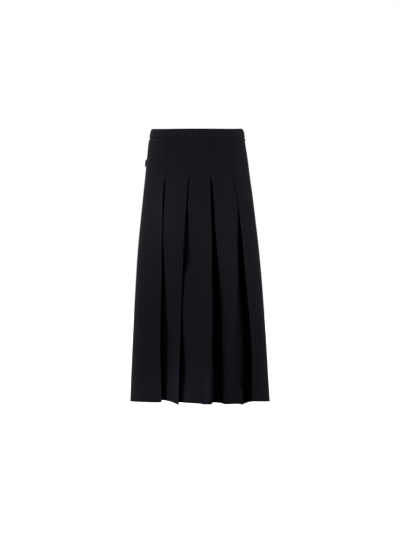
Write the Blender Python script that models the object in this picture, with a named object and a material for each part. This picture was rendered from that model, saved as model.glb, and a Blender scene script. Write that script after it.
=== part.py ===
"""Pleated midi skirt, worn shape with nobody in it: a hollow tube of cloth from the waist to the calf.

Metres, +Z up, +X to the viewer's right, +Y away from the viewer. The origin is the middle of the waist ring,
at half the height of the waistband. The skirt is two lengths of cloth, front and back, joined at the side seams.
Each length is a wall whose level sections run along an ellipse-like ring and fold under it at each pleat.
"""

import math

import bmesh
import bpy
import numpy as np
from mathutils import Vector

MM = 0.001

# ---- driving sizes, in millimetres -------------------------------------------------------------------------------
CLOTH = 1.2  # thickness of one layer
SLACK = 0.4  # air between two pressed layers
LAYER = CLOTH + SLACK
SEAM = 0.3  # gap between pieces that meet
BAND_TOP, BAND_BOTTOM = 12.0, -12.0
BAND_WALL = 3.2  # the band is folded double over a stiffener
BAND_PROUD = 0.5  # of the band over the cloth below
STITCH_END = -114.0  # the pleats are sewn down to here
HEM = -746.0
UNDERLAY = 44.0  # how far a pleat turns under its face

# Level sections of the ring. left and right are the side outlines, front and back the depths from the side seams.
RING = (
    # z, left, right, front, back
    (12.0, -129.2, 130.0, 94.0, 100.0),
    (-12.0, -132.8, 131.9, 95.0, 103.0),
    (-36.0, -136.4, 135.1, 97.5, 107.0),
    (-75.0, -140.2, 141.2, 102.0, 112.5),
    (-114.0, -143.9, 146.7, 106.0, 117.0),
    (-135.0, -146.4, 149.2, 108.0, 119.0),
    (-160.0, -149.1, 152.8, 110.0, 121.0),
    (-200.0, -153.2, 157.8, 113.0, 124.0),
    (-245.0, -157.9, 163.3, 115.5, 126.5),
    (-290.0, -162.4, 168.7, 118.0, 129.0),
    (-340.0, -166.5, 174.0, 120.5, 131.0),
    (-390.0, -169.5, 178.6, 123.0, 133.0),
    (-440.0, -172.4, 182.3, 125.0, 134.5),
    (-490.0, -175.4, 186.3, 127.0, 136.0),
    (-540.0, -178.0, 189.3, 128.5, 137.5),
    (-590.0, -180.0, 192.8, 130.0, 139.0),
    (-640.0, -182.2, 196.0, 131.5, 140.0),
    (-690.0, -184.6, 198.7, 133.0, 141.0),
    (-746.0, -186.4, 202.1, 134.5, 143.0),
)

# Front pleats, as X of each edge. fold is the pressed edge on top, face is where the cloth beside it comes up.
# The third is an inverted pleat, with a fold on both sides of its recess, and crease is how far its left fold
# has rolled open.
FRONT = (
    # z, fold1, face1, fold2, face2, fold3, fold3r, crease3, face4, fold4
    (-12.0, -79.8, -79.8, -20.9, -20.9, 37.5, 37.5, 0.0, 90.0, 90.0),
    (-36.0, -81.5, -81.5, -21.1, -21.1, 36.9, 36.9, 0.0, 91.5, 91.5),
    (-75.0, -84.2, -84.2, -22.2, -22.2, 36.4, 36.4, 0.0, 96.0, 96.0),
    (-114.0, -87.7, -87.7, -23.5, -23.5, 37.1, 37.1, 0.0, 100.5, 100.5),
    (-135.0, -91.0, -89.7, -24.5, -23.3, 36.9, 40.0, 0.0, 103.9, 104.0),
    (-160.0, -94.1, -90.3, -27.1, -23.6, 37.1, 43.3, 0.0, 107.8, 108.8),
    (-200.0, -95.9, -92.0, -29.8, -25.5, 38.3, 47.0, 0.0, 111.7, 115.0),
    (-245.0, -96.8, -93.6, -32.7, -24.7, 39.6, 49.5, 0.0, 112.9, 119.3),
    (-290.0, -97.0, -94.2, -35.3, -24.5, 41.1, 52.4, 0.0, 111.7, 123.9),
    (-340.0, -97.3, -92.5, -38.0, -26.5, 41.5, 56.4, 0.0, 112.7, 128.9),
    (-390.0, -97.6, -90.3, -40.2, -33.2, 41.5, 60.9, 0.0, 113.9, 133.4),
    (-440.0, -98.4, -87.8, -42.2, -37.8, 41.5, 65.7, 0.0, 115.2, 137.8),
    (-490.0, -100.0, -85.6, -44.0, -39.8, 41.9, 68.3, 0.0, 117.0, 142.3),
    (-540.0, -100.4, -83.4, -45.2, -38.4, 41.8, 69.3, 0.5, 119.6, 146.4),
    (-590.0, -100.8, -82.6, -46.9, -36.0, 41.9, 70.5, 3.0, 121.7, 150.0),
    (-640.0, -100.1, -82.7, -48.5, -34.4, 42.6, 72.0, 6.0, 123.4, 151.4),
    (-690.0, -98.9, -83.0, -50.0, -36.0, 43.0, 72.3, 9.0, 126.0, 151.4),
    (-746.0, -97.3, -84.6, -51.4, -41.0, 42.5, 71.8, 11.5, 132.0, 151.3),
)

# Back pleats, seen from behind, with X to the right there. Hidden in the photo: of the front's kind, uneven too.
BACK = (
    # z, fold1, face1, fold2, face2, fold3, fold3r, crease3, face4, fold4
    (-12.0, -88.0, -88.0, -31.0, -31.0, 29.0, 29.0, 0.0, 86.0, 86.0),
    (-36.0, -89.8, -89.8, -31.6, -31.6, 29.5, 29.5, 0.0, 88.0, 88.0),
    (-75.0, -93.0, -93.0, -32.6, -32.6, 30.4, 30.4, 0.0, 91.5, 91.5),
    (-114.0, -96.4, -96.4, -33.8, -33.8, 31.5, 31.5, 0.0, 95.0, 95.0),
    (-135.0, -98.6, -97.4, -34.8, -33.8, 31.7, 34.6, 0.0, 97.0, 97.6),
    (-160.0, -101.0, -98.2, -36.2, -33.9, 32.0, 37.4, 0.0, 99.0, 101.2),
    (-200.0, -103.6, -99.4, -38.2, -34.0, 32.6, 40.8, 0.0, 101.4, 106.0),
    (-245.0, -105.6, -100.0, -40.2, -34.2, 33.6, 43.8, 0.0, 103.4, 110.4),
    (-290.0, -107.2, -99.8, -41.8, -34.6, 34.4, 46.4, 0.0, 105.0, 114.4),
    (-340.0, -108.8, -98.8, -43.4, -35.4, 35.0, 49.0, 0.0, 106.6, 118.4),
    (-390.0, -110.2, -97.4, -45.0, -36.4, 35.2, 51.6, 0.0, 108.4, 122.2),
    (-440.0, -111.6, -96.2, -46.6, -37.2, 35.0, 54.2, 0.0, 110.6, 126.0),
    (-490.0, -113.2, -95.4, -48.2, -37.6, 34.8, 56.6, 0.5, 113.2, 129.8),
    (-540.0, -114.8, -95.0, -50.0, -37.8, 34.8, 58.8, 1.5, 116.0, 133.6),
    (-590.0, -116.4, -95.2, -51.8, -38.0, 35.2, 60.8, 3.0, 118.8, 137.2),
    (-640.0, -117.6, -96.2, -53.4, -38.6, 36.0, 62.6, 4.5, 121.4, 140.6),
    (-690.0, -118.6, -97.8, -54.8, -39.8, 37.0, 64.2, 6.0, 123.8, 143.6),
    (-746.0, -119.4, -100.2, -56.0, -41.8, 38.2, 65.6, 7.5, 126.6, 146.4),
)

# How each pleat hangs at the hem: depth of its recess, how far it still turns under there, and how much higher
# than the level HEM its fold, its recess and the face beside it end.
HANG_FRONT = (
    # depth, turn, fold_rise, recess_rise, face_rise
    (31.0, 20.0, 3.0, 7.0, 8.0),
    (25.0, 15.0, -0.4, 5.5, 4.0),
    (43.0, 24.0, -1.0, 4.0, -1.6),
    (38.0, 22.0, 4.6, 5.5, 1.0),
)
HANG_BACK = (
    # depth, turn, fold_rise, recess_rise, face_rise
    (30.0, 20.0, 1.0, 6.0, 5.0),
    (27.0, 17.0, -1.0, 5.5, 4.0),
    (38.0, 22.0, -1.5, 4.5, -0.5),
    (34.0, 21.0, 2.0, 6.0, 2.5),
)
EDGE_LIFT = 2.5  # an open fold stands this far off the ring

# Buckle on the left hip, just behind the side seam. Heights here are from the cloth's face, outwards.
BUCKLE_Z = -79.0
BUCKLE_TALL, BUCKLE_LONG, BUCKLE_WIRE = 24.0, 19.0, 1.6
BAR_AT = 12.0  # of the bar behind the side seam, along the cloth
BAR_HEIGHT, FAR_HEIGHT = 2.1, 2.45
LOOP_WIDE, LOOP_THICK, LOOP_LONG = 12.0, 0.7, 12.0
STRAP_WIDE, STRAP_THICK = 17.0, 1.0
STRAP_TIP, STRAP_ROOT = 0.5, 94.0
PRONG_WIRE = 1.2

WOOL = (0.0095, 0.0100, 0.0125, 1.0)
BAND_WOOL = (0.0105, 0.0110, 0.0135, 1.0)
STEEL = (0.42, 0.42, 0.43, 1.0)


# ---- small helpers ------------------------------------------------------------------------------------------------
def column(table, z, i):
    rows = sorted(table)
    return float(np.interp(z, [r[0] for r in rows], [r[i] for r in rows]))


def ease(x):
    x = min(max(x, 0.0), 1.0)
    return x * x * (3.0 - 2.0 * x)


def offset_line(points, side):
    """The line moved sideways by side (positive to the left of its direction), with mitred corners."""
    p = np.asarray(points, float)
    along = np.diff(p, axis=0)
    along /= np.linalg.norm(along, axis=1)[:, None]
    normal = np.stack([-along[:, 1], along[:, 0]], 1)
    out = np.empty_like(p)
    out[0] = p[0] + side * normal[0]
    out[-1] = p[-1] + side * normal[-1]
    for k in range(1, len(p) - 1):
        m = normal[k - 1] + normal[k]
        m /= max(float(m @ m) / 2.0, 0.35)
        out[k] = p[k] + side * m
    return out


class Ring:
    """One level section of half a skirt: an ellipse quarter on each side of its own middle, the cloth's outer face."""

    def __init__(self, left, right, depth):
        self.cx, self.a, self.b = (left + right) / 2, (right - left) / 2, depth
        t = np.linspace(-math.pi / 2, math.pi / 2, 721)
        x, y = self.cx + self.a * np.sin(t), -self.b * np.cos(t)
        self.t = t
        self.s = np.concatenate([[0.0], np.cumsum(np.hypot(np.diff(x), np.diff(y)))])
        self.length = float(self.s[-1])

    def s_at_x(self, x):
        t = math.asin(min(max((x - self.cx) / self.a, -1.0), 1.0))
        return float(np.interp(t, self.t, self.s))

    def point(self, s, depth):
        """Where the line along the ring at s lies, depth inside the outer face."""
        t = float(np.interp(s, self.s, self.t))
        tx, ty = self.a * math.cos(t), self.b * math.sin(t)
        k = math.hypot(tx, ty)
        tx, ty = tx / k, ty / k
        over = s - min(max(s, 0.0), self.length)
        return (
            self.cx + self.a * math.sin(t) - ty * depth + tx * over,
            -self.b * math.cos(t) + tx * depth + ty * over,
        )


def pleat_opening(z):
    """0 where the pleats are sewn down, 1 where they hang open."""
    return ease((STITCH_END - z) / 90.0)


def knife(fold, face, z, hang):
    """Centre line of a knife pleat, its top fold first: (s, depth, rise), with the fold to the left of the face."""
    depth, turn, fold_rise, recess_rise, face_rise = hang
    o, far = pleat_opening(z), ease((STITCH_END - z) / 380.0)
    d = 2 * LAYER + (depth - 2 * LAYER) * far
    p = UNDERLAY + (turn - UNDERLAY) * far
    gap = face - fold
    lift = EDGE_LIFT * o

    def mix(a, b):
        return a + (b - a) * o

    return [
        (fold, -lift, fold_rise),
        (fold, LAYER - lift, fold_rise),
        (fold - p, d - LAYER, recess_rise),
        (fold - p, d, recess_rise),
        (fold + mix(2.6, gap - 2.0), d + mix(0.0, 1.0), recess_rise),
        (fold + mix(8.0, gap + 0.5), mix(1.25 * LAYER, min(6.0, 0.55 * d)), face_rise),
        (fold + mix(17.0, gap + 10.0), 0.0, face_rise * 0.8),
    ]


def inverted(left, right, crease, z, hang):
    """Centre line of an inverted pleat: two folds face each other over a recess."""
    depth, turn, fold_rise, recess_rise, face_rise = hang
    o, far = pleat_opening(z), ease((STITCH_END - z) / 380.0)
    d = 2 * LAYER + (depth - 2 * LAYER) * far
    p = 22.0 + (turn - 22.0) * far
    lift = EDGE_LIFT * o
    half = (CLOTH + SLACK) / 2
    left, right = left - half * (1 - o), right + half * (1 - o)
    return [
        (left - crease, -lift, fold_rise),
        (left, LAYER - lift + 1.3 * crease, fold_rise),
        (left - p, d - LAYER, recess_rise),
        (left - p, d, recess_rise),
        ((left + right) / 2, d + 1.0, recess_rise),
        (right + p, d, recess_rise),
        (right + p, d - LAYER, recess_rise),
        (right, LAYER - lift, face_rise),
        (right, -lift, face_rise),
    ]


def centre_line(z, ring, table, hangs, panel_points=(6, 2, 4, 4, 6)):
    """The cloth's centre line across one half, from its left seam to its right: a list of (s, depth, rise)."""
    x = [ring.s_at_x(column(table, z, i)) for i in (1, 2, 3, 4, 5, 6)] + [column(table, z, 7)]
    x += [ring.s_at_x(column(table, z, i)) for i in (8, 9)]
    pleats = [
        knife(x[0], x[1], z, hangs[0]),
        knife(x[2], x[3], z, hangs[1]),
        inverted(x[4], x[5], x[6], z, hangs[2]),
        [(-s, d, r) for s, d, r in reversed(knife(-x[8], -x[7], z, hangs[3]))],
    ]
    ends = [[(SEAM / 2, 0.0, 1.0)]] + pleats + [[(ring.length - SEAM / 2, 0.0, 1.0)]]
    line = list(ends[0])
    for before, after, count in zip(ends, ends[1:], panel_points):
        (s0, d0, r0), (s1, d1, r1) = before[-1], after[0]
        for k in range(1, count + 1):
            f = k / (count + 1)
            near = math.exp(-(((s1 - s0) * (1 - f)) / 14.0) ** 2)  # the lifted edge settles back on the ring
            line.append((s0 + (s1 - s0) * f, d1 * near if d1 < 0 else 0.0, r0 + (r1 - r0) * f))
        line += after
    return line


# ---- pieces -------------------------------------------------------------------------------------------------------
def material(name, color, rough, metal=0.0):
    m = bpy.data.materials.new(name)
    m.use_nodes = True
    b = m.node_tree.nodes["Principled BSDF"]
    b.inputs["Base Color"].default_value = color
    b.inputs["Roughness"].default_value = rough
    b.inputs["Metallic"].default_value = metal
    return m


def add_mesh(name, verts, faces, mat, into, smooth=35.0):
    me = bpy.data.meshes.new(name)
    me.from_pydata([Vector(v) * MM for v in verts], [], faces)
    bm = bmesh.new()
    bm.from_mesh(me)
    bmesh.ops.recalc_face_normals(bm, faces=bm.faces)
    bm.to_mesh(me)
    bm.free()
    me.shade_smooth()
    me.set_sharp_from_angle(angle=math.radians(smooth))
    me.materials.append(mat)
    ob = bpy.data.objects.new(name, me)
    into.objects.link(ob)
    return ob


def loft(loops, closed_ends=True):
    """Vertices and faces between closed loops of the same number of points, first and last filled."""
    n = len(loops[0])
    verts = [p for loop in loops for p in loop]
    faces = []
    for k in range(len(loops) - 1):
        for i in range(n):
            j = (i + 1) % n
            faces.append((k * n + i, k * n + j, (k + 1) * n + j, (k + 1) * n + i))
    if closed_ends:
        faces.append(tuple(range(n)))
        faces.append(tuple((len(loops) - 1) * n + i for i in reversed(range(n))))
    return verts, faces


def skirt_half(name, table, hangs, back, mat, into):
    """A wall through the level sections. back turns the half round to the other side."""
    levels = [r[0] for r in FRONT]
    rows_out, rows_in = [], []
    for z in levels:
        left, right = column(RING, z, 1), column(RING, z, 2)
        ring = Ring(-right, -left, column(RING, z, 4)) if back else Ring(left, right, column(RING, z, 3))
        line = centre_line(z, ring, table, hangs)
        flat = [ring.point(s, CLOTH / 2 + d) for s, d, _ in line]
        fade = ease((-560.0 - z) / (-560.0 - HEM))
        height = [(z if z < BAND_BOTTOM else z - SEAM) + r * fade for _, _, r in line]
        for rows, side in ((rows_out, -CLOTH / 2), (rows_in, CLOTH / 2)):
            rows.append([(x, y, h) for (x, y), h in zip(offset_line(flat, side), height)])
    n, m = len(rows_out[0]), len(levels)
    verts = [p for row in rows_out for p in row] + [p for row in rows_in for p in row]
    faces, base = [], n * m
    for k in range(m - 1):
        for i in range(n - 1):
            a, b, c, d = k * n + i, k * n + i + 1, (k + 1) * n + i + 1, (k + 1) * n + i
            faces += [(a, d, c, b), (base + a, base + b, base + c, base + d)]
        for i in (0, n - 1):
            a, d = k * n + i, (k + 1) * n + i
            faces.append((a, base + a, base + d, d) if i == 0 else (a, d, base + d, base + a))
    for k in (0, m - 1):
        for i in range(n - 1):
            a, b = k * n + i, k * n + i + 1
            faces.append((a, b, base + b, base + a) if k == 0 else (a, base + a, base + b, b))
    if back:
        verts = [(-x, -y, z) for x, y, z in verts]
    return add_mesh(name, verts, faces, mat, into)


def band_point(t, z, inside):
    """On the waistband's face at the ring angle t, inside mm from its outer face."""
    left, right = column(RING, z, 1), column(RING, z, 2)
    a, cx = (right - left) / 2 + BAND_PROUD - inside, (left + right) / 2
    b = column(RING, z, 3 if math.cos(t) > 0 else 4) + BAND_PROUD - inside
    return (cx + a * math.sin(t), -b * math.cos(t), z)


def waistband(mat, into):
    """A closed ring of folded cloth with a rounded top edge. Its sides dip a little where it closes."""
    profile = (
        # z, inside
        (BAND_BOTTOM, 0.4),
        (BAND_BOTTOM + 0.8, 0.0),
        (0.0, 0.0),
        (BAND_TOP - 1.2, 0.0),
        (BAND_TOP - 0.2, 0.7),
        (BAND_TOP, BAND_WALL / 2),
        (BAND_TOP - 0.2, BAND_WALL - 0.7),
        (BAND_TOP - 1.2, BAND_WALL),
        (BAND_BOTTOM, BAND_WALL),
    )
    steps = 72
    verts, faces = [], []
    for k in range(steps):
        t = 2 * math.pi * k / steps
        dip = 2.5 * math.exp(-((math.degrees(t) - 90.0) / 13.0) ** 2)
        for z, inside in profile:
            x, y, h = band_point(t, z, inside)
            verts.append((x, y, h - (dip if h > 5 else 0.0)))
    n = len(profile)
    for k in range(steps):
        for i in range(n):
            j, q = (i + 1) % n, (k + 1) % steps
            faces.append((k * n + i, k * n + j, q * n + j, q * n + i))
    return add_mesh("waistband", verts, faces, mat, into)


def on_side(u, v, w):
    """A point at the left hip: u mm behind the side seam along the cloth, v mm over the buckle's level, w mm out."""
    z = BUCKLE_Z + v
    left, right = column(RING, z, 1), column(RING, z, 2)
    cx, a = (left + right) / 2, (right - left) / 2
    b = column(RING, z, 4 if u > 0 else 3)
    ring = Ring(cx - a, cx + a, b)
    x, y = ring.point(abs(u), -w)
    return (x, -y if u > 0 else y, z)


def strip(name, stations, wide, thick, mat, into, tip=None):
    """A band along the hip. stations are (u, w of its inner face); tip narrows the width along u."""
    loops = []
    for u, w in stations:
        half = wide / 2 * (tip(u) if tip else 1.0)
        loops.append(
            [
                on_side(u, -half, w),
                on_side(u, half, w),
                on_side(u, half, w + thick),
                on_side(u, 0.0, w + thick * 1.06),
                on_side(u, -half, w + thick),
            ]
        )
    verts, faces = loft(loops)
    return add_mesh(name, verts, faces, mat, into)


def tip_width(u):
    """The strap's tongue ends in a blunt point."""
    k = min(max((u - STRAP_TIP) / 7.0, 0.0), 1.0)
    return 0.35 + 0.65 * math.sin(k * math.pi / 2)


def buckle_axes():
    """Middle of the flat metal frame and its directions: from the bar to the far side, up the cloth, and outwards."""
    bar = Vector(on_side(BAR_AT, 0.0, BAR_HEIGHT))
    far = Vector(on_side(BAR_AT + BUCKLE_LONG, 0.0, FAR_HEIGHT))
    mid = BAR_AT + BUCKLE_LONG / 2
    up = (Vector(on_side(mid, 1, 0)) - Vector(on_side(mid, -1, 0))).normalized()
    along = (far - bar).normalized()
    up = (up - along * up.dot(along)).normalized()
    return (bar + far) / 2, along, up, (far - bar).length


def rod(name, points, radius, mat, into, closed=False, resolution=2):
    """A round bar through points in mm, as a bevelled curve turned into a closed mesh."""
    cu = bpy.data.curves.new(name + "_path", "CURVE")
    cu.dimensions = "3D"
    cu.bevel_depth = radius * MM
    cu.bevel_resolution = resolution
    cu.use_fill_caps = not closed
    sp = cu.splines.new("POLY")
    sp.points.add(len(points) - 1)
    for q, p in zip(sp.points, points):
        q.co = (p[0] * MM, p[1] * MM, p[2] * MM, 1.0)
    sp.use_cyclic_u = closed
    tmp = bpy.data.objects.new(name + "_path", cu)
    into.objects.link(tmp)
    bpy.context.view_layer.update()
    me = bpy.data.meshes.new_from_object(tmp.evaluated_get(bpy.context.evaluated_depsgraph_get()))
    bpy.data.objects.remove(tmp)
    bm = bmesh.new()
    bm.from_mesh(me)
    bmesh.ops.remove_doubles(bm, verts=bm.verts, dist=1e-6)
    bmesh.ops.recalc_face_normals(bm, faces=bm.faces)
    bm.to_mesh(me)
    bm.free()
    me.name = name
    me.shade_smooth()
    me.set_sharp_from_angle(angle=math.radians(50))
    me.materials.clear()
    me.materials.append(mat)
    ob = bpy.data.objects.new(name, me)
    into.objects.link(ob)
    return ob


def round_rectangle(long, tall, radius, per_corner=3):
    """Points of a rectangle with round corners, centred."""
    out = []
    for cx, cy, start in (
        (long / 2 - radius, tall / 2 - radius, 0),
        (-long / 2 + radius, tall / 2 - radius, 90),
        (-long / 2 + radius, -tall / 2 + radius, 180),
        (long / 2 - radius, -tall / 2 + radius, 270),
    ):
        for k in range(per_corner + 1):
            a = math.radians(start + 90 * k / per_corner)
            out.append((cx + radius * math.cos(a), cy + radius * math.sin(a)))
    return out


def buckle(metal, cloth, into):
    """The fastened buckle: a cloth loop holds its bar, the strap ducks under the far side and climbs over the bar."""
    o, along, up, span = buckle_axes()
    r = BUCKLE_WIRE / 2
    bar, far = BAR_AT, BAR_AT + BUCKLE_LONG
    ring = round_rectangle(span, BUCKLE_TALL - 2 * r, 3.0)
    rod("buckle_frame", [o + along * u + up * v for u, v in ring], r, metal, into, closed=True)

    # the loop: under the bar, round it and back over itself, sewn down near the side seam
    turn = r + SEAM + LOOP_THICK / 2
    low = BAR_HEIGHT - turn
    centre = [(bar - LOOP_LONG, low), (bar - 6.0, low), (bar, low)]
    for k in range(1, 6):
        a = -math.pi / 2 + math.pi * k / 6
        centre.append((bar + turn * math.cos(a), BAR_HEIGHT + turn * math.sin(a)))
    centre += [(bar - 0.4, BAR_HEIGHT + turn), (bar - 3.4, low + LOOP_THICK + SEAM + 0.5)]
    centre += [(bar - 5.5, low + LOOP_THICK + SEAM), (bar - LOOP_LONG, low + LOOP_THICK + SEAM)]
    right, left = offset_line(centre, -LOOP_THICK / 2), offset_line(centre, LOOP_THICK / 2)
    loops = [
        [on_side(u, v, w) for (u, w), v in ((p, -LOOP_WIDE / 2), (p, LOOP_WIDE / 2), (q, LOOP_WIDE / 2), (q, -LOOP_WIDE / 2))]
        for p, q in zip(right, left)
    ]
    add_mesh("buckle_loop", *loft(loops), cloth, into)

    over = BAR_HEIGHT + turn + LOOP_THICK / 2 + SEAM  # inner face of the strap over the bar
    tail = low + 1.5 * LOOP_THICK + 2 * SEAM
    stations = [
        (STRAP_TIP, tail),
        (STRAP_TIP + 2.0, tail),
        (STRAP_TIP + 4.5, tail + 0.1),
        (bar - 4.6, tail + 0.9),
        (bar - 1.5, over),
        (bar + 1.2, over),
        (bar + 4.0, over - 1.0),
        (bar + 8.0, 1.9),
        (far - 6.5, 0.75),
        (far - 3.0, SEAM),
        (far + 3.0, SEAM),
    ]
    stations += [(u, SEAM) for u in np.linspace(far + 11.0, STRAP_ROOT, 6)]
    strip("hip_strap", stations, STRAP_WIDE, STRAP_THICK, cloth, into, tip=tip_width)

    # the prong comes up through the strap and rests on the far side
    on_far = FAR_HEIGHT + r + SEAM + PRONG_WIRE / 2
    a, b = Vector(on_side(bar + 6.6, 0.0, 4.9)), Vector(on_side(far + 1.5, 0.0, on_far + 0.15))
    rod("buckle_prong", [a, a.lerp(b, 0.5), b], PRONG_WIRE / 2, metal, into)


def main():
    for ob in list(bpy.data.objects):
        bpy.data.objects.remove(ob, do_unlink=True)
    parts = bpy.data.collections.new("pleated_midi_skirt")
    bpy.context.scene.collection.children.link(parts)

    wool = material("wool", WOOL, 0.85)
    wool_back = material("wool_back", WOOL, 0.85)
    band = material("band_wool", BAND_WOOL, 0.85)
    strap = material("strap_wool", BAND_WOOL, 0.85)
    steel = material("steel", STEEL, 0.3, 1.0)

    skirt_half("skirt_front", FRONT, HANG_FRONT, False, wool, parts)
    skirt_half("skirt_back", BACK, HANG_BACK, True, wool_back, parts)
    waistband(band, parts)
    buckle(steel, strap, parts)


main()
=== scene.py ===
"""Pleated midi skirt in its worn shape: the finished surfaces, around the fixed frame."""

import math

import bmesh
import bpy
import numpy as np
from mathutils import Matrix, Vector


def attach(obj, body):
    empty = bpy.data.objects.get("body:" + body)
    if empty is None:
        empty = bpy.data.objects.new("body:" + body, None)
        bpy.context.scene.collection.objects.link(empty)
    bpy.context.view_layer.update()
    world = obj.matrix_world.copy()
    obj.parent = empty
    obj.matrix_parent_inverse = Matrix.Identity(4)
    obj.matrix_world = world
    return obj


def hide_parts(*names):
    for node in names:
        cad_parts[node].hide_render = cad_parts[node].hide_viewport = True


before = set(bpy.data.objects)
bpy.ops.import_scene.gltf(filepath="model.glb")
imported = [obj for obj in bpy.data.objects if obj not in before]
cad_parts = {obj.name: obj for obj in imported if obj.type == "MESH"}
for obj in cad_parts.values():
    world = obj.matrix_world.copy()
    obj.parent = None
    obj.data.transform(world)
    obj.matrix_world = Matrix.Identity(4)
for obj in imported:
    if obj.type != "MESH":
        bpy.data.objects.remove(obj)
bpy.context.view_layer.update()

MM = 0.001

# ---- sizes in millimetres, as in the solids -----------------------------------------------------------------------
CLOTH = 0.8
SLACK = 0.25
LAYER = CLOTH + SLACK
SEAM = 0.3
BAND_TOP, BAND_BOTTOM, BAND_WALL, BAND_PROUD = 12.0, -11.6, 3.2, 0.5
STITCH_END = -114.0
HEM = -746.0
UNDERLAY = 44.0
STEP_IN = 0.35

RING = (
    # z, left, right, front, back
    (12.0, -127.6, 128.4, 94.0, 100.0),
    (7.5, -130.1, 130.3, 94.2, 100.6),
    (5.0, -130.8, 131.2, 94.3, 100.9),
    (0.0, -131.8, 131.9, 94.5, 101.5),
    (-4.0, -132.5, 132.4, 94.7, 102.0),
    (-12.0, -133.2, 133.0, 95.0, 103.0),
    (-14.5, -133.5, 133.4, 95.3, 103.4),
    (-17.4, -135.0, 133.8, 95.6, 103.9),
    (-20.0, -135.8, 134.2, 95.8, 104.3),
    (-26.0, -136.6, 134.8, 96.5, 105.3),
    (-31.0, -137.3, 135.5, 97.0, 106.2),
    (-45.0, -138.7, 137.7, 98.5, 108.3),
    (-59.0, -140.0, 140.0, 100.2, 110.2),
    (-73.0, -141.4, 142.0, 101.8, 112.2),
    (-101.0, -144.2, 145.6, 104.7, 115.5),
    (-129.0, -146.9, 149.2, 107.4, 118.4),
    (-157.0, -149.8, 153.3, 109.8, 120.8),
    (-185.0, -152.8, 156.9, 111.9, 122.9),
    (-241.0, -158.6, 163.6, 115.3, 126.3),
    (-297.0, -164.1, 170.4, 118.3, 129.3),
    (-353.0, -168.6, 176.1, 121.2, 131.5),
    (-409.0, -172.0, 181.2, 123.8, 133.6),
    (-465.0, -175.1, 185.5, 126.0, 135.2),
    (-521.0, -178.0, 189.6, 127.9, 136.9),
    (-577.0, -180.8, 193.4, 129.6, 138.6),
    (-633.0, -183.3, 196.8, 131.3, 139.9),
    (-689.0, -185.7, 200.1, 133.0, 141.0),
    (-748.0, -187.9, 204.0, 134.5, 143.0),
)

FRONT = (
    # z, fold1, face1, roll1, fold2, face2, roll2, fold3, crease3, face3, roll3, face4, roll4, fold4
    (-12.0, -79.8, -79.8, 20.0, -20.9, -20.9, 20.0, 37.5, 0.0, 37.5, 12.0, 90.0, 20.0, 90.0),
    (-36.0, -81.5, -81.5, 20.0, -21.1, -21.1, 20.0, 36.9, 0.0, 36.9, 12.0, 91.5, 20.0, 91.5),
    (-75.0, -84.2, -84.2, 20.0, -22.2, -22.2, 20.0, 36.4, 0.0, 36.4, 12.0, 96.0, 20.0, 96.0),
    (-114.0, -87.7, -87.7, 16.0, -23.5, -23.5, 16.0, 37.1, 0.0, 37.1, 6.0, 100.5, 16.0, 100.5),
    (-135.0, -91.4, -89.2, 4.0, -25.0, -22.3, 3.0, 35.8, 0.0, 40.6, 3.0, 103.5, 5.0, 103.7),
    (-160.0, -94.0, -90.0, 3.0, -27.5, -22.7, 3.0, 36.4, 0.0, 43.6, 3.0, 108.3, 4.0, 108.5),
    (-200.0, -95.4, -92.1, 3.0, -30.0, -25.6, 4.0, 37.2, 0.0, 47.5, 4.0, 114.2, 3.0, 114.3),
    (-245.0, -96.3, -93.8, 3.0, -33.1, -24.0, 11.0, 38.7, 0.0, 49.5, 4.5, 115.5, 7.0, 119.3),
    (-290.0, -96.7, -94.5, 3.0, -36.0, -21.4, 15.0, 40.1, 0.0, 53.0, 5.0, 114.9, 10.0, 124.3),
    (-340.0, -97.3, -92.6, 3.0, -39.1, -20.4, 16.0, 40.7, 0.0, 57.1, 5.0, 114.7, 9.0, 129.2),
    (-390.0, -97.8, -90.0, 3.0, -40.3, -33.1, 7.0, 39.8, 0.0, 62.7, 5.0, 116.4, 11.0, 133.8),
    (-440.0, -98.6, -87.2, 3.0, -42.3, -37.3, 3.5, 40.0, 0.0, 68.4, 5.0, 117.2, 15.0, 138.3),
    (-490.0, -100.4, -85.3, 7.0, -43.9, -40.5, 3.0, 40.3, 0.0, 71.7, 5.0, 118.2, 18.0, 142.8),
    (-540.0, -100.8, -82.8, 11.0, -45.1, -38.9, 4.5, 40.3, 0.3, 72.3, 4.0, 117.9, 22.0, 147.6),
    (-590.0, -101.9, -83.3, 15.0, -46.8, -36.0, 9.0, 40.3, 2.0, 73.3, 4.0, 120.0, 24.0, 151.1),
    (-640.0, -101.0, -85.9, 17.0, -48.1, -34.9, 14.0, 42.9, 5.5, 76.1, 3.0, 121.9, 26.0, 153.3),
    (-690.0, -99.9, -86.4, 18.0, -49.8, -38.2, 17.0, 43.5, 8.4, 77.1, 3.0, 125.8, 26.0, 152.9),
    (-715.0, -99.2, -88.2, 18.0, -50.8, -42.5, 17.0, 43.6, 10.6, 76.4, 3.0, 134.6, 24.0, 153.3),
    (-746.0, -98.4, -89.5, 18.0, -50.0, -46.0, 17.0, 43.2, 11.6, 76.0, 3.0, 136.5, 22.0, 153.7),
)

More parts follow.
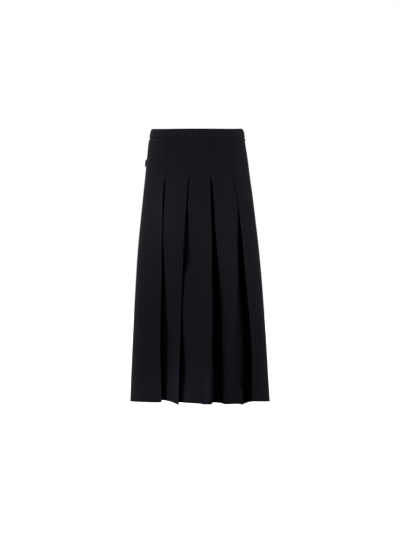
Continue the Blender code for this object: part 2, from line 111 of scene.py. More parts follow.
BACK = (
    # z, fold1, face1, roll1, fold2, face2, roll2, fold3, crease3, face3, roll3, face4, roll4, fold4
    (-12.0, -88.0, -88.0, 20.0, -31.0, -31.0, 20.0, 29.0, 0.0, 29.0, 12.0, 86.0, 20.0, 86.0),
    (-36.0, -89.8, -89.8, 20.0, -31.6, -31.6, 20.0, 29.5, 0.0, 29.5, 12.0, 88.0, 20.0, 88.0),
    (-75.0, -93.0, -93.0, 20.0, -32.6, -32.6, 20.0, 30.4, 0.0, 30.4, 12.0, 91.5, 20.0, 91.5),
    (-114.0, -96.4, -96.4, 16.0, -33.8, -33.8, 16.0, 31.5, 0.0, 31.5, 6.0, 95.0, 16.0, 95.0),
    (-135.0, -98.6, -97.4, 4.0, -34.8, -33.8, 3.0, 31.7, 0.0, 34.6, 3.0, 97.0, 5.0, 97.6),
    (-160.0, -101.0, -98.2, 3.0, -36.2, -33.9, 3.0, 32.0, 0.0, 37.4, 3.0, 99.0, 4.0, 101.2),
    (-200.0, -103.6, -99.4, 3.0, -38.2, -34.0, 4.0, 32.6, 0.0, 40.8, 4.0, 101.4, 5.0, 106.0),
    (-245.0, -105.6, -100.0, 4.0, -40.2, -34.2, 7.0, 33.6, 0.0, 43.8, 4.5, 103.4, 7.0, 110.4),
    (-290.0, -107.2, -99.8, 6.0, -41.8, -34.6, 10.0, 34.4, 0.0, 46.4, 5.0, 105.0, 9.0, 114.4),
    (-340.0, -108.8, -98.8, 8.0, -43.4, -35.4, 12.0, 35.0, 0.0, 49.0, 5.0, 106.6, 10.0, 118.4),
    (-390.0, -110.2, -97.4, 10.0, -45.0, -36.4, 11.0, 35.2, 0.0, 51.6, 5.0, 108.4, 10.0, 122.2),
    (-440.0, -111.6, -96.2, 11.0, -46.6, -37.2, 9.0, 35.0, 0.0, 54.2, 5.0, 110.6, 11.0, 126.0),
    (-490.0, -113.2, -95.4, 12.0, -48.2, -37.6, 7.0, 34.8, 0.5, 56.6, 5.0, 113.2, 12.0, 129.8),
    (-540.0, -114.8, -95.0, 13.0, -50.0, -37.8, 6.0, 34.8, 1.5, 58.8, 4.0, 116.0, 13.0, 133.6),
    (-590.0, -116.4, -95.2, 14.0, -51.8, -38.0, 7.0, 35.2, 3.0, 60.8, 4.0, 118.8, 14.0, 137.2),
    (-640.0, -117.6, -96.2, 15.0, -53.4, -38.6, 9.0, 36.0, 4.5, 62.6, 3.0, 121.4, 15.0, 140.6),
    (-690.0, -118.6, -97.8, 15.0, -54.8, -39.8, 11.0, 37.0, 6.0, 64.2, 3.0, 123.8, 16.0, 143.6),
    (-746.0, -119.4, -100.2, 15.0, -56.0, -41.8, 12.0, 38.2, 7.5, 65.6, 3.0, 126.6, 16.0, 146.4),
)

HANG_FRONT = (
    # depth, turn, lift_high, lift_low, curl, curl_rise, fold_rise, recess_rise, near_rise, lip_rise, face_rise
    (31.0, 20.0, 2.6, 1.6, 10.0, 2.4, 3.8, 7.1, 6.8, 6.9, 6.2),
    (27.0, 15.0, 1.8, 5.0, 14.0, 2.2, -2.7, 2.4, 2.2, 3.5, 2.6),
    (50.0, 28.0, 1.4, 4.0, 12.0, -0.1, -1.4, -4.4, 1.2, -2.1, -1.0),
    (38.0, 22.0, 1.4, 1.2, 8.0, 3.8, 4.4, 0.0, -6.8, -4.6, -2.0),
)
HANG_BACK = (
    # depth, turn, lift_high, lift_low, curl, curl_rise, fold_rise, recess_rise, near_rise, lip_rise, face_rise
    (30.0, 20.0, 2.2, 1.6, 10.0, 0.9, 0.6, 4.5, 4.0, 4.0, 3.0),
    (27.0, 17.0, 1.8, 2.8, 12.0, 0.2, -1.0, 3.5, 3.0, 3.0, 2.0),
    (40.0, 22.0, 1.4, 2.6, 12.0, -1.0, -1.5, 2.0, 2.0, -0.5, -0.5),
    (34.0, 21.0, 1.6, 1.4, 10.0, 1.8, 2.0, 4.5, 2.0, 2.0, 1.0),
)
SIDE_RISE = (0.5, -0.6)  # the hem at the two side seams

# Soft troughs and ridges in the cloth: where each runs, how far it bulges out (less than 0 is a trough)
CREASES_FRONT = (
    # x_top, z_top, x_bottom, z_bottom, width, out
    (-118.0, -150.0, -122.0, -520.0, 20.0, 0.8),
    (-60.0, -170.0, -72.0, -430.0, 13.0, 0.6),
    (-66.0, -480.0, -62.0, -740.0, 9.0, 0.6),
    (8.0, -130.0, 0.0, -460.0, 18.0, 0.7),
    (12.0, -430.0, -14.0, -740.0, 14.0, -0.7),
    (98.0, -380.0, 108.0, -740.0, 15.0, 0.8),
    (168.0, -420.0, 178.0, -740.0, 12.0, -0.5),
)
CREASES_BACK = (
    # x_top, z_top, x_bottom, z_bottom, width, out
    (-130.0, -200.0, -140.0, -560.0, 18.0, 0.8),
    (-66.0, -150.0, -74.0, -480.0, 14.0, 0.7),
    (-70.0, -470.0, -82.0, -740.0, 11.0, -0.7),
    (-2.0, -140.0, -4.0, -500.0, 18.0, 0.9),
    (2.0, -520.0, -12.0, -740.0, 13.0, -0.7),
    (62.0, -160.0, 78.0, -540.0, 13.0, 0.7),
    (96.0, -470.0, 98.0, -740.0, 12.0, 0.7),
    (150.0, -380.0, 164.0, -740.0, 14.0, -0.6),
)

BUCKLE_Z = -80.4
BUCKLE_TALL, BUCKLE_LONG, BUCKLE_WIRE = 25.2, 19.0, 1.5
BAR_AT = 12.0
BAR_HEIGHT, FAR_HEIGHT = 1.9, 2.2
LOOP_WIDE, LOOP_THICK, LOOP_LONG = 12.0, 0.55, 12.0
STRAP_WIDE, STRAP_THICK = 17.0, 0.8
STRAP_TIP, STRAP_ROOT = 0.5, 94.0
PRONG_WIRE = 1.2

# Looks
PANEL = (0.0080, 0.0084, 0.0107)
PANEL_DARK = (0.0066, 0.0069, 0.0089)
BAND = (0.0092, 0.0096, 0.0120)
SHEEN, SPECULAR, ROUGH, BEND = 0.0, 0.5, 0.5, 1.05
PAINTED_LIGHT_AND_SHADE = (
    # x, z, half width, half height, change in red, green and blue: soft patches of painted light and shade, lighter
    # where light falls on the cloth and on pressed fold edges (painted highlights), darker where the cloth lies in
    # shade (painted shade)
    (-113.0, -208.0, 45.0, 95.0, (0.24, 0.28, 0.28)),
    (-64.0, -213.0, 45.0, 110.0, (0.08, 0.13, 0.20)),
    (16.0, -282.0, 40.0, 120.0, (0.07, 0.10, 0.11)),
    (85.0, -296.0, 50.0, 140.0, (0.13, 0.12, 0.10)),
    (-20.0, -392.0, 25.0, 70.0, (-0.12, -0.12, -0.12)),
    (-64.0, -731.0, 42.0, 75.0, (0.44, 0.55, 0.68)),
    (-3.0, -731.0, 50.0, 90.0, (0.32, 0.38, 0.45)),
    (-158.0, -737.0, 50.0, 60.0, (0.17, 0.20, 0.20)),
    (91.0, -696.0, 45.0, 100.0, (-0.10, -0.13, -0.13)),
    (-102.0, -207.0, 8.0, 60.0, (0.12, 0.14, 0.14)),
    (-57.0, -690.0, 7.0, 80.0, (0.30, 0.34, 0.38)),
    (28.0, -715.0, 7.0, 45.0, (0.46, 0.52, 0.56)),
    (-128.0, -520.0, 42.0, 85.0, (-0.15, -0.16, -0.17)),
    (-102.0, -262.0, 22.0, 55.0, (0.16, 0.17, 0.16)),
    (166.0, -565.0, 38.0, 75.0, (-0.10, -0.13, -0.09)),
)
ROUND = (
    # degrees round from straight in front, strength of the world's light
    (0.0, 0.0),
    (40.0, 0.0),
    (55.0, 2.21),
    (75.0, 0.0),
    (100.0, 0.0),
    (135.0, 0.92),
    (180.0, 0.8),
)
BOXES = (
    # name, where (m), size (m), watts: each aimed at the middle of the skirt
    ("left_front", (-0.50, -1.10, 0.20), (0.40, 0.50), 5.3),
    ("left_middle", (-0.75, -0.70, -0.20), (0.40, 0.50), 2.2),
    ("left_low", (-1.00, -0.60, -0.70), (0.40, 0.40), 2.0),
    ("left_rear_high", (-1.40, 0.50, 0.80), (0.60, 0.60), 20.2),
    ("left_rear", (-1.60, 2.20, 0.00), (0.80, 1.80), 5.3),
    ("right_front", (0.80, -0.75, -0.20), (0.40, 0.50), 4.55),
    ("right_near", (0.85, -0.45, -0.30), (0.30, 0.50), 1.0),
    ("right_rear_high", (1.40, 0.50, 0.80), (0.60, 0.60), 15.0),
)


# ---- helpers ------------------------------------------------------------------------------------------------------
def ease(x):
    x = np.clip(x, 0.0, 1.0)
    return x * x * (3.0 - 2.0 * x)


class Column:
    """One named size down the skirt, smooth between the table's rows and never past them."""

    def __init__(self, table, i):
        rows = sorted(table)
        self.x = np.array([r[0] for r in rows])
        self.y = np.array([r[i] for r in rows])
        h, d = np.diff(self.x), np.diff(self.y) / np.diff(self.x)
        m = np.empty_like(self.y)
        m[0], m[-1] = d[0], d[-1]
        w1, w2 = 2 * h[1:] + h[:-1], h[1:] + 2 * h[:-1]
        same = d[:-1] * d[1:] > 0
        with np.errstate(divide="ignore", invalid="ignore"):
            mid = (w1 + w2) / (w1 / d[:-1] + w2 / d[1:])
        m[1:-1] = np.where(same, mid, 0.0)
        self.m = m

    def __call__(self, z):
        z = float(np.clip(z, self.x[0], self.x[-1]))
        k = int(np.clip(np.searchsorted(self.x, z) - 1, 0, len(self.x) - 2))
        h = self.x[k + 1] - self.x[k]
        t = (z - self.x[k]) / h
        return float(
            (2 * t**3 - 3 * t**2 + 1) * self.y[k]
            + (t**3 - 2 * t**2 + t) * h * self.m[k]
            + (-2 * t**3 + 3 * t**2) * self.y[k + 1]
            + (t**3 - t**2) * h * self.m[k + 1]
        )


RING_AT = {n: Column(RING, i) for n, i in (("left", 1), ("right", 2), ("front", 3), ("back", 4))}


class Ring:
    def __init__(self, left, right, depth):
        self.cx, self.a, self.b = (left + right) / 2, (right - left) / 2, depth
        self.t = np.linspace(-math.pi / 2, math.pi / 2, 721)
        x, y = self.cx + self.a * np.sin(self.t), -self.b * np.cos(self.t)
        self.s = np.concatenate([[0.0], np.cumsum(np.hypot(np.diff(x), np.diff(y)))])
        self.length = float(self.s[-1])

    def s_at_x(self, x):
        t = math.asin(min(max((x - self.cx) / self.a, -1.0), 1.0))
        return float(np.interp(t, self.t, self.s))

    def points(self, s, depth):
        t = np.interp(s, self.s, self.t)
        tx, ty = self.a * np.cos(t), self.b * np.sin(t)
        k = np.hypot(tx, ty)
        tx, ty = tx / k, ty / k
        over = s - np.clip(s, 0.0, self.length)
        return np.stack(
            [self.cx + self.a * np.sin(t) - ty * depth + tx * over, -self.b * np.cos(t) + tx * depth + ty * over], -1
        )

    def x_at(self, s):
        return self.cx + self.a * np.sin(np.interp(s, self.s, self.t))


def opened(z):
    """0 where the pleats are stitched down, 1 once they hang open."""
    return float(ease((STITCH_END - z) / 22.0))


def down(z):
    """How far the pleats have opened out towards the hem, fast below the stitching and slower after it."""
    return math.sqrt(min(max((STITCH_END - z) / (STITCH_END - HEM), 0.0), 1.0))


def lower(z):
    return float(ease((-300.0 - z) / 400.0))


def knife(fold, face, roll, z, hang):
    """Corners of a knife pleat: (s, depth, rise, radius, arc points, points on the run after it)."""
    depth, turn, lift_high, lift_low, curl, curl_rise, fold_rise, recess_rise, near_rise, lip_rise, face_rise = hang
    o, far = opened(z), down(z)
    d = 2 * LAYER + STEP_IN * (1 - o) + (depth - 2 * LAYER) * far * o
    p = UNDERLAY + (turn - UNDERLAY) * far
    gap = face - fold
    lift = (lift_high + (lift_low - lift_high) * lower(z)) * o * min(1.0, far / 0.35) - STEP_IN * (1 - o)
    lip = face - 0.25 * roll * o
    sunk = min(0.6 * d, 0.6 + 0.45 * roll + 0.03 * roll * roll)

    def mix(a, b):
        return a + (b - a) * o

    return [
        (fold - curl, 0.0, curl_rise, 0.45 * curl, 5, 3),
        (fold, -lift, fold_rise, LAYER / 2, 5, 1),
        (fold, LAYER - lift, fold_rise, LAYER / 2, 5, 8),
        (fold - p, d - LAYER, recess_rise, LAYER * 0.6, 4, 1),
        (fold - p, d, recess_rise, LAYER * 0.6, 4, 9),
        (mix(fold + LAYER + 0.05, lip - 1.0), d + 0.5 * o, near_rise, mix(0.5, 0.5 + 0.2 * roll), 5, 7),
        (mix(fold + LAYER + 0.05, lip), mix(0.45, sunk), mix(near_rise, lip_rise), mix(0.5, 0.6 + 0.3 * roll), 7, 3),
        (mix(fold + LAYER + 7.0, lip + 1.1 * roll), 0.0, face_rise, mix(3.0, 0.8 * roll), 8, 0),
    ]


def inverted(left, crease, right, roll, z, hang):
    depth, turn, lift_high, lift_low, curl, curl_rise, fold_rise, recess_rise, near_rise, lip_rise, face_rise = hang
    o, far = opened(z), down(z)
    d = 2 * LAYER + (depth - 2 * LAYER) * far * o
    p = 22.0 + (turn - 22.0) * far
    lift = (lift_high + (lift_low - lift_high) * lower(z)) * o * min(1.0, far / 0.35) - 0.12 * (1 - o)
    half = (CLOTH + 0.12) / 2
    left, right = left - half * (1 - o), right + half * (1 - o)
    # the next panel hangs a little behind this one, and its edge rolls back
    behind = o * 8.0 * float(ease((STITCH_END - z) / 480.0))
    edge = -lift * (1 - o) + behind
    back = o * 7.0 * float(ease((-300.0 - z) / 200.0))
    return [
        (left - crease - curl, 0.0, curl_rise, 0.45 * curl, 5, 3),
        (left - crease, -lift, fold_rise, LAYER / 2 + 0.15 * crease, 5, 1),
        (left, LAYER - lift + 1.9 * crease, fold_rise - 0.15 * crease, LAYER / 2 + 0.1 * crease, 5, 6),
        (left - p, d - LAYER, recess_rise, LAYER * 0.6, 4, 1),
        (left - p, d, recess_rise, LAYER * 0.6, 4, 7),
        ((left + right) / 2, d + 1.0 * o, near_rise, 6.0, 5, 7),
        (right + p, d, recess_rise, LAYER * 0.6, 4, 1),
        (right + p, d - LAYER, recess_rise, LAYER * 0.6, 4, 6),
        (right, LAYER + edge + back + 0.3 * roll * o, lip_rise, LAYER / 2 + 0.2 * roll * o, 5, 1),
        (right + 0.35 * roll * o, edge + back, lip_rise, LAYER / 2 + 0.35 * roll * o, 6, 3),
        (right + 12.0, edge * 0.66 + back * 0.14, lip_rise, 7.0, 6, 6),
        (right + 34.0, 0.0, face_rise, 14.0, 5, 0),
    ]


def rounded(corners):
    """The line through the corners with each one rounded: an array of (s, depth, rise), always of the same length."""
    p = np.array([c[:3] for c in corners], float)
    step = np.diff(p, axis=0)
    length = np.maximum(np.hypot(step[:, 0], step[:, 1]), 1e-6)
    out = []
    for i, (_, _, _, radius, arc, run) in enumerate(corners):
        if i == 0 or i == len(corners) - 1:
            out.append(p[i])
            leave = p[i]
        else:
            r0, r1 = min(radius, 0.49 * length[i - 1]), min(radius, 0.49 * length[i])
            a, b = p[i] - step[i - 1] * (r0 / length[i - 1]), p[i] + step[i] * (r1 / length[i])
            for k in range(arc):
                t = k / (arc - 1)
                out.append((1 - t) ** 2 * a + 2 * t * (1 - t) * p[i] + t * t * b)
            leave = b
        if i < len(corners) - 1 and run:
            nxt = p[i + 1]
            if i + 1 < len(corners) - 1:
                r = min(corners[i + 1][3], 0.49 * length[i])
                nxt = p[i + 1] - step[i] * (r / length[i])
            for k in range(1, run + 1):
                out.append(leave + (nxt - leave) * (k / (run + 1)))
    return np.array(out)


COLUMNS = ("fold1", "face1", "roll1", "fold2", "face2", "roll2", "fold3", "crease3", "face3", "roll3")
COLUMNS += ("face4", "roll4", "fold4")
PANEL_POINTS = (20, 11, 16, 8, 20)


def centre_line(z, ring, columns, hangs, laps):
    """The cloth's centre line across one half: an array of (s, depth, rise). Its side turnings may lap under."""
    at = {name: columns[i](z) for i, name in enumerate(COLUMNS, 1)}
    on = {name: ring.s_at_x(at[name]) for name in COLUMNS if name.startswith("f")}
    if laps:
        corners = [(-3.0, 1.8, SIDE_RISE[0] + 2.0, 0.0, 1, 2), (0.5, 1.8, SIDE_RISE[0] + 0.5, 0.6, 4, 1)]
        corners += [(0.9, 0.2, SIDE_RISE[0], 0.5, 4, 1), (3.2, 0.0, SIDE_RISE[0], 1.2, 4, PANEL_POINTS[0])]
    else:
        corners = [(SEAM / 2, 0.3, SIDE_RISE[0], 0.0, 1, 1), (SEAM / 2 + 2.2, 0.0, SIDE_RISE[0], 1.5, 4, PANEL_POINTS[0])]
    turned = knife(-on["fold4"], -on["face4"], at["roll4"], z, hangs[3])
    runs = [c[5] for c in turned]
    shapes = [
        knife(on["fold1"], on["face1"], at["roll1"], z, hangs[0]),
        knife(on["fold2"], on["face2"], at["roll2"], z, hangs[1]),
        inverted(on["fold3"], at["crease3"], on["face3"], at["roll3"], z, hangs[2]),
        [(-s, d, r, q, arc, run) for (s, d, r, q, arc, _), run in zip(reversed(turned), runs[-2::-1] + [0])],
    ]
    for shape, count in zip(shapes, PANEL_POINTS[1:]):
        shape = list(shape)
        shape[-1] = shape[-1][:5] + (count,)
        corners += shape
    end = ring.length
    if laps:
        corners += [(end - 3.2, 0.0, SIDE_RISE[1], 1.2, 4, 1), (end - 0.9, 0.2, SIDE_RISE[1], 0.5, 4, 1)]
        corners += [(end - 0.5, 1.8, SIDE_RISE[1] + 0.5, 0.6, 4, 2), (end + 3.0, 1.8, SIDE_RISE[1] + 2.0, 0.0, 1, 0)]
    else:
        corners += [(end - SEAM / 2 - 2.2, 0.0, SIDE_RISE[1], 1.5, 4, 1), (end - SEAM / 2, 0.3, SIDE_RISE[1], 0.0, 1, 0)]
    return rounded(corners)


def crease_out(x, z, creases):
    """How far the soft troughs and ridges move the cloth out at each x."""
    out = np.zeros_like(x)
    for x0, z0, x1, z1, width, height in creases:
        f = (z0 - z) / (z0 - z1)
        if -0.25 < f < 1.25:
            along = float(ease((f + 0.25) / 0.4) * ease((1.25 - f) / 0.4)) if z1 > -735 else float(ease((f + 0.25) / 0.4))
            out += height * along * np.exp(-(((x - (x0 + (x1 - x0) * f)) / width) ** 2))
    return out


def mesh_object(name, verts, faces, mats, smooth=None):
    me = bpy.data.meshes.new(name)
    me.from_pydata([tuple(v) for v in np.asarray(verts) * MM], [], faces)
    for m in mats if isinstance(mats, (list, tuple)) else [mats]:
        me.materials.append(m)
    me.shade_smooth()
    if smooth:
        me.set_sharp_from_angle(angle=math.radians(smooth))
    ob = bpy.data.objects.new(name, me)
    bpy.context.scene.collection.objects.link(ob)
    return ob


def grid_uv(ob, uv_of_vertex, name="cloth"):
    """A UV map in metres of cloth, from a value for each vertex."""
    me = ob.data
    layer = me.uv_layers.new(name=name)
    idx = np.empty(len(me.loops), np.int32)
    me.loops.foreach_get("vertex_index", idx)
    layer.uv.foreach_set("vector", np.asarray(uv_of_vertex, np.float32)[idx].ravel())


# ---- materials ----------------------------------------------------------------------------------------------------
class Nodes:
    def __init__(self, name):
        self.mat = bpy.data.materials.new(name)
        self.mat.use_nodes = True
        self.tree = self.mat.node_tree
        self.tree.nodes.clear()
        self.out = self.new("ShaderNodeOutputMaterial")
        self.bsdf = self.new("ShaderNodeBsdfPrincipled")
        self.link(self.bsdf, "BSDF", self.out, "Surface")

    def new(self, kind, **values):
        n = self.tree.nodes.new(kind)
        for k, v in values.items():
            setattr(n, k, v)
        return n

    def link(self, a, x, b, y):
        self.tree.links.new(a.outputs[x], b.inputs[y])

    def math(self, op, a, b=None, c=None):
        n = self.new("ShaderNodeMath", operation=op)
        for i, v in enumerate((a, b, c)):
            if v is None:
                continue
            if isinstance(v, (int, float)):
                n.inputs[i].default_value = v
            else:
                self.tree.links.new(v, n.inputs[i])
        return n.outputs[0]

    def noise(self, vector, scale, detail=2.0, rough=0.5):
        n = self.new("ShaderNodeTexNoise")
        n.inputs["Scale"].default_value = scale
        n.inputs["Detail"].default_value = detail
        n.inputs["Roughness"].default_value = rough
        if vector is not None:
            self.tree.links.new(vector, n.inputs["Vector"])
        return n.outputs["Fac"]

    def vector(self, op, *values):
        n = self.new("ShaderNodeVectorMath", operation=op)
        for i, v in enumerate(values):
            if isinstance(v, tuple):
                n.inputs[i].default_value = v
            else:
                self.tree.links.new(v, n.inputs[i])
        return n.outputs["Vector"]

    def paint_light_and_shade(self, color, place, painted_light_areas):
        """The color with broad soft patches of painted light and shade, each a little lighter or darker and fading out
        from its middle.
        """
        split = self.new("ShaderNodeSeparateXYZ")
        self.tree.links.new(place, split.inputs["Vector"])
        total = (1.0, 1.0, 1.0)
        for x, z, wide, tall, change in painted_light_areas:
            dx = self.math("MULTIPLY_ADD", split.outputs["X"], 1.0 / (wide * MM), -x / wide)
            dz = self.math("MULTIPLY_ADD", split.outputs["Z"], 1.0 / (tall * MM), -z / tall)
            away = self.math("ADD", self.math("MULTIPLY", dx, dx), self.math("MULTIPLY", dz, dz))
            near = self.math("EXPONENT", self.math("MULTIPLY", away, -1.0))
            total = self.vector("MULTIPLY_ADD", near, change, total)
        return self.vector("MULTIPLY", color, total)


def wool(name, light, dark, bump=0.25, sheen=SHEEN, spec=SPECULAR, rough=ROUGH, painted_light_areas=()):
    """Fine wool twill: diagonal ribs, yarn flecks and a soft nap, with slow random changes in tone, and any given soft
    patches of painted light and shade.
    """
    m = Nodes(name)
    uv = m.new("ShaderNodeUVMap", uv_map="cloth")
    obj = m.new("ShaderNodeTexCoord")
    sep = m.new("ShaderNodeSeparateXYZ")
    m.link(uv, "UV", sep, "Vector")
    u, v = sep.outputs["X"], sep.outputs["Y"]
    # twill ribs rise to the right, 1 mm apart across
    wobble = m.noise(obj.outputs["Object"], 260.0, 1.0)
    phase = m.math("ADD", m.math("MULTIPLY", u, 2 * math.pi / 0.0011), m.math("MULTIPLY", v, -2 * math.pi / 0.0007))
    phase = m.math("ADD", phase, m.math("MULTIPLY", wobble, 2.2))
    rib = m.math("MULTIPLY_ADD", m.math("SINE", phase), 0.5, 0.5)
    yarn = m.math("MULTIPLY_ADD", m.math("SINE", m.math("MULTIPLY", v, 2 * math.pi / 0.00055)), 0.5, 0.5)
    nap = m.noise(obj.outputs["Object"], 1500.0, 3.0, 0.6)
    fleck = m.noise(obj.outputs["Object"], 420.0, 2.0, 0.6)
    slow = m.noise(obj.outputs["Object"], 9.0, 2.0, 0.5)
    height = m.math("ADD", m.math("MULTIPLY", rib, 0.6), m.math("MULTIPLY", yarn, 0.2))
    height = m.math("ADD", height, m.math("MULTIPLY", nap, 0.5))
    b = m.new("ShaderNodeBump")
    b.inputs["Strength"].default_value = bump
    b.inputs["Distance"].default_value = 0.0001
    m.tree.links.new(height, b.inputs["Height"])
    m.link(b, "Normal", m.bsdf, "Normal")
    tone = m.math("ADD", m.math("MULTIPLY", rib, 0.25), m.math("MULTIPLY", fleck, 0.55))
    tone = m.math("ADD", tone, m.math("MULTIPLY", slow, 0.35))
    tone = m.math("SUBTRACT", tone, 0.05)
    mix = m.new("ShaderNodeMix", data_type="RGBA")
    mix.inputs["A"].default_value = (*dark, 1.0)
    mix.inputs["B"].default_value = (*light, 1.0)
    m.tree.links.new(tone, mix.inputs["Factor"])
    color = mix.outputs["Result"]
    # soft patches of painted light and shade laid over the cloth's colour
    if painted_light_areas:
        color = m.paint_light_and_shade(color, obj.outputs["Object"], painted_light_areas)
    m.tree.links.new(color, m.bsdf.inputs["Base Color"])
    r = m.math("MULTIPLY_ADD", nap, 0.16, rough)
    m.tree.links.new(r, m.bsdf.inputs["Roughness"])
    m.bsdf.inputs["Specular IOR Level"].default_value = spec
    m.bsdf.inputs["IOR"].default_value = BEND
    m.bsdf.inputs["Sheen Weight"].default_value = sheen
    m.bsdf.inputs["Sheen Roughness"].default_value = 0.45
    m.bsdf.inputs["Sheen Tint"].default_value = (0.80, 0.86, 1.0, 1.0)
    return m.mat


def metal(name, color, rough):
    m = Nodes(name)
    obj = m.new("ShaderNodeTexCoord")
    fine = m.noise(obj.outputs["Object"], 2200.0, 3.0, 0.6)
    slow = m.noise(obj.outputs["Object"], 160.0, 2.0)
    mix = m.new("ShaderNodeMix", data_type="RGBA")
    mix.inputs["A"].default_value = (*[c * 0.72 for c in color], 1.0)
    mix.inputs["B"].default_value = (*color, 1.0)
    m.tree.links.new(slow, mix.inputs["Factor"])
    m.tree.links.new(mix.outputs["Result"], m.bsdf.inputs["Base Color"])
    m.bsdf.inputs["Metallic"].default_value = 1.0
    m.tree.links.new(m.math("MULTIPLY_ADD", fine, 0.18, rough), m.bsdf.inputs["Roughness"])
    b = m.new("ShaderNodeBump")
    b.inputs["Strength"].default_value = 0.15
    b.inputs["Distance"].default_value = 0.00005
    m.tree.links.new(fine, b.inputs["Height"])
    m.link(b, "Normal", m.bsdf, "Normal")
    return m.mat


# ---- the skirt's two lengths ------------------------------------------------------------------------------------------
def levels():
    z = [-11.65, -11.85, -12.1, -12.4, -12.8, -13.4, -14.2, -15.0, -16.0, -17.2, -18.4, -19.8, -22.0]
    z += list(np.linspace(-26.0, -106.0, 12))
    z += list(np.linspace(-110.0, -142.0, 10))
    z += list(np.linspace(-150.0, -700.0, 62))
    z += [-707.0, -714.0, -721.0, -728.0, -734.0, -738.0, -740.5, -741.6, -742.1, -742.6, -743.6, -744.8, -745.5]
    return z


def skirt_half(name, table, hangs, creases, back, mat):
    columns = {i: Column(table, i) for i in range(1, 14)}
    outer, inner, across, rows = [], [], [], levels()
    for z in rows:
        left, right = RING_AT["left"](z), RING_AT["right"](z)
        ring = Ring(-right, -left, RING_AT["back"](z)) if back else Ring(left, right, RING_AT["front"](z))
        line = centre_line(z, ring, columns, hangs, not back)
        s, d, rise = line[:, 0], line[:, 1], line[:, 2]
        on_face = np.exp(-((np.maximum(d, 0.0) / 2.0) ** 2))
        d = d - crease_out(ring.x_at(s), z, creases) * on_face * opened(z)
        # the seam into the band draws the cloth in, and the hem's turned edge is thicker
        tuck = 1.5 * math.exp(-((-11.9 - z) / 1.1) ** 2)
        knot = 2.6 * math.exp(-((z + 15.2) / 2.2) ** 2)
        d = d - knot * np.exp(-(((s if back else ring.length - s) / 3.0) ** 2))
        mid = ring.points(s, CLOTH / 2 + d + tuck)
        step = np.gradient(mid, axis=0)
        step /= np.linalg.norm(step, axis=1)[:, None]
        normal = np.stack([step[:, 1], -step[:, 0]], 1)  # out of the skirt
        fade = float(ease((-560.0 - z) / (-560.0 - HEM)))
        h = z + (rise - 1.6) * fade
        turned = 0.28 * float(ease((-741.7 - z) / 0.7)) - 0.18 * math.exp(-(((z + 741.6) / 0.9) ** 2))
        pinch = 0.25 * float(ease((-744.6 - z) / 1.2))
        for rows_of, sign in ((outer, 1), (inner, -1)):
            half = CLOTH / 2 + turned * (1 if sign > 0 else 0.6) - pinch
            p = mid + normal * (sign * half)
            rows_of.append(np.column_stack([p, h]))
        across.append(np.concatenate([[0.0], np.cumsum(np.linalg.norm(np.diff(mid, axis=0), axis=1))]))
    # the bottom edge is rounded
    low_out, low_in = outer[-1], inner[-1]
    rim = []
    for f, drop in ((0.12, 0.32), (0.5, 0.5), (0.88, 0.32)):
        p = low_out + (low_in - low_out) * f
        p[:, 2] -= drop
        rim.append(p)
    grid = outer + rim + inner[::-1]
    m, n = len(grid), len(grid[0])
    verts = np.concatenate(grid)
    at = lambda k, i: k * n + i
    faces, kinds = [], []
    for k in range(m - 1):
        for i in range(n - 1):
            faces.append((at(k, i), at(k + 1, i), at(k + 1, i + 1), at(k, i + 1)))
    for i in range(n - 1):  # the top edge, inside the band
        faces.append((at(m - 1, i), at(0, i), at(0, i + 1), at(m - 1, i + 1)))
    r = len(outer)
    for i in (0, n - 1):
        for k in range(r - 1):
            q = (at(k, i), at(m - 1 - k, i), at(m - 2 - k, i), at(k + 1, i))
            faces.append(q if i == 0 else q[::-1])
        q = tuple(at(k, i) for k in range(r - 1, r + 4))
        faces.append(q[::-1] if i == 0 else q)
    if back:
        verts = verts * np.array([-1.0, -1.0, 1.0])
    ob = mesh_object(name, verts, faces, mat)
    width = np.array([across[min(k, r - 1)] if k < r else across[max(0, min(r - 1, m - 1 - k))] for k in range(m)])
    centre = width[:, -1:] / 2
    down = np.concatenate([[0.0], np.cumsum(np.linalg.norm(np.diff(np.array([g[0] for g in grid]), axis=0), axis=1))])
    uv = np.stack([(width - centre) * MM, np.repeat(-down[:, None] * MM, n, axis=1)], -1).reshape(-1, 2)
    grid_uv(ob, uv, "cloth")
    # a second, square map: the outer face in its upper half and the inner face in its lower half
    span, total = float(width.max()), float(down[-1])
    square = np.stack([0.01 + 0.98 * width / span, np.repeat(0.99 - 0.98 * down[:, None] / total, n, axis=1)], -1)
    grid_uv(ob, square.reshape(-1, 2), "OFBake")
    ob.data.uv_layers["cloth"].active = True
    ob.data.uv_layers["cloth"].active_render = True
    return ob, float(width[:, -1].mean()) * MM


